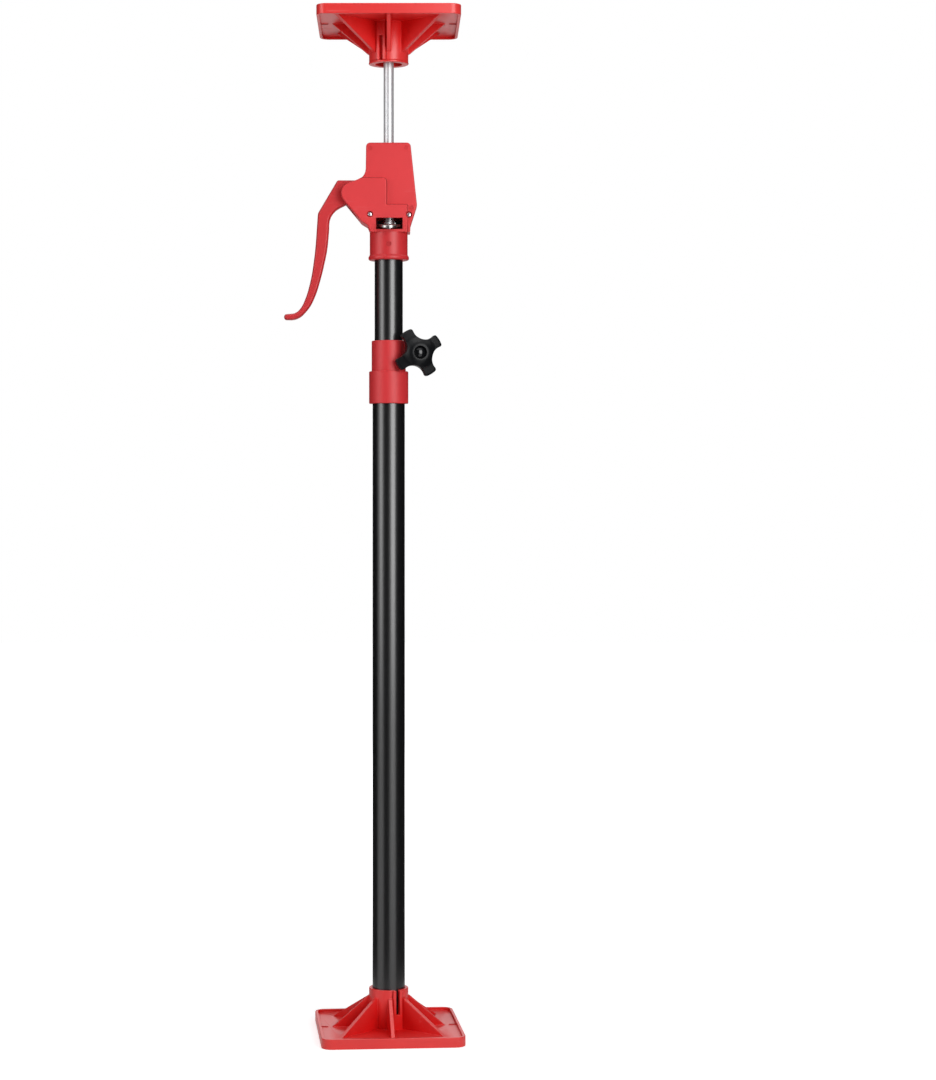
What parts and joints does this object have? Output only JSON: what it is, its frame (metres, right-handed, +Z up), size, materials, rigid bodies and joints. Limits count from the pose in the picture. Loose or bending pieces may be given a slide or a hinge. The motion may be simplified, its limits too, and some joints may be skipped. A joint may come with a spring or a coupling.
{
  "type": "telescopic support pole",
  "caption": "Telescopic drywall support pole: square pads on a two-tube column with a clamp knob, and a squeeze-lever jack head that walks a steel rod up.",
  "frame": {"origin": "centre of the foot's face, on the pole's axis", "axes": "+Z up along the pole, -Y to the front where the window and the knob are, -X to the side of the squeeze lever"},
  "size_m": [0.1781, 0.149, 1.0071],
  "materials": {
    "red_pad": "satin moulded red",
    "red_mat": "soft matt red",
    "red_cover": "fine matt red",
    "red_moulding": "satin moulded red",
    "black_tube": "black gloss enamel",
    "black_knob": "satin black",
    "black_cap": "gloss black",
    "white_nylon": "natural nylon",
    "zinc_steel": "bright zinc plate",
    "plate_steel": "pressed steel",
    "rod_steel": "drawn bright steel",
    "spring_steel": "bright spring wire"
  },
  "bodies": {
    "lower": {"foot_plate": "red_pad", "foot_grip_mat": "red_mat", "lower_tube": "black_tube", "clamp_collar": "red_moulding", "clamp_bolt": "zinc_steel"},
    "washer": {"clamp_washer": "zinc_steel"},
    "knob": {"clamp_knob": "black_knob", "clamp_nut": "zinc_steel", "knob_cap": "black_cap"},
    "bush": {"slide_bush": "white_nylon"},
    "head": {"upper_tube": "black_tube", "tube_socket": "red_moulding", "rod_guide": "white_nylon", "front_cover": "red_cover", "rear_cover": "red_cover", "cover_screws": "zinc_steel", "lever_pin": "zinc_steel", "grip_spring": "spring_steel", "release_spring": "spring_steel"},
    "lever": {"lever": "red_moulding"},
    "grip": {"grip_plates": "plate_steel"},
    "release": {"release_plate": "plate_steel"},
    "rod_end": {"rod_bush": "white_nylon"},
    "rod": {"push_rod": "rod_steel", "rod_circlips": "spring_steel", "pad_adapter": "red_pad", "top_plate": "red_pad", "top_grip_mat": "red_mat"}
  },
  "joints": [
    {"name": "tube_slide", "type": "slide", "parent": "lower", "child": "bush", "axis": [0, 0, 1], "range_m": [-0.0793, 0.4445]},
    {"name": "tube_turn", "type": "hinge", "parent": "bush", "child": "head", "pos_m": [0, 0, 0.205], "axis": [0, 0, 1], "continuous": true},
    {"name": "rod_slide", "type": "slide", "parent": "head", "child": "rod_end", "axis": [0, 0, 1], "range_m": [-0.0784, 0.0605]},
    {"name": "rod_turn", "type": "hinge", "parent": "rod_end", "child": "rod", "pos_m": [0, 0, 0.698], "axis": [0, 0, 1], "continuous": true},
    {"name": "lever_squeeze", "type": "hinge", "parent": "head", "child": "lever", "pos_m": [-0.03403, 0, 0.832], "axis": [0, -1, 0], "range_deg": [0, 24], "stiffness_Nm_per_rad": 0.5, "springref_deg": -28.65},
    {"name": "grip_lift", "type": "slide", "parent": "head", "child": "grip", "axis": [0, 0, 1], "range_m": [0, 0.00925], "deforming": ["grip_spring"]},
    {"name": "release_tilt", "type": "hinge", "parent": "head", "child": "release", "pos_m": [0, 0.013, 0.79985], "axis": [-1, 0, 0], "range_deg": [0, 6], "stiffness_Nm_per_rad": 0.1, "springref_deg": -22.92, "deforming": ["release_spring"]},
    {"name": "knob_travel", "type": "slide", "parent": "lower", "child": "washer", "axis": [0.2079, -0.9781, 0], "range_m": [0, 0.00205]},
    {"name": "knob_turn", "type": "hinge", "parent": "washer", "child": "knob", "pos_m": [0.02396, 0.00509, 0.67307], "axis": [0.2079, -0.9781, 0], "range_deg": [0, 720]}
  ],
  "couplings": [
    {"joint": "grip_lift", "follows": "lever_squeeze", "m_per_rad": 0.022},
    {"joint": "knob_travel", "follows": "knob_turn", "m_per_rad": 0.00015915}
  ]
}
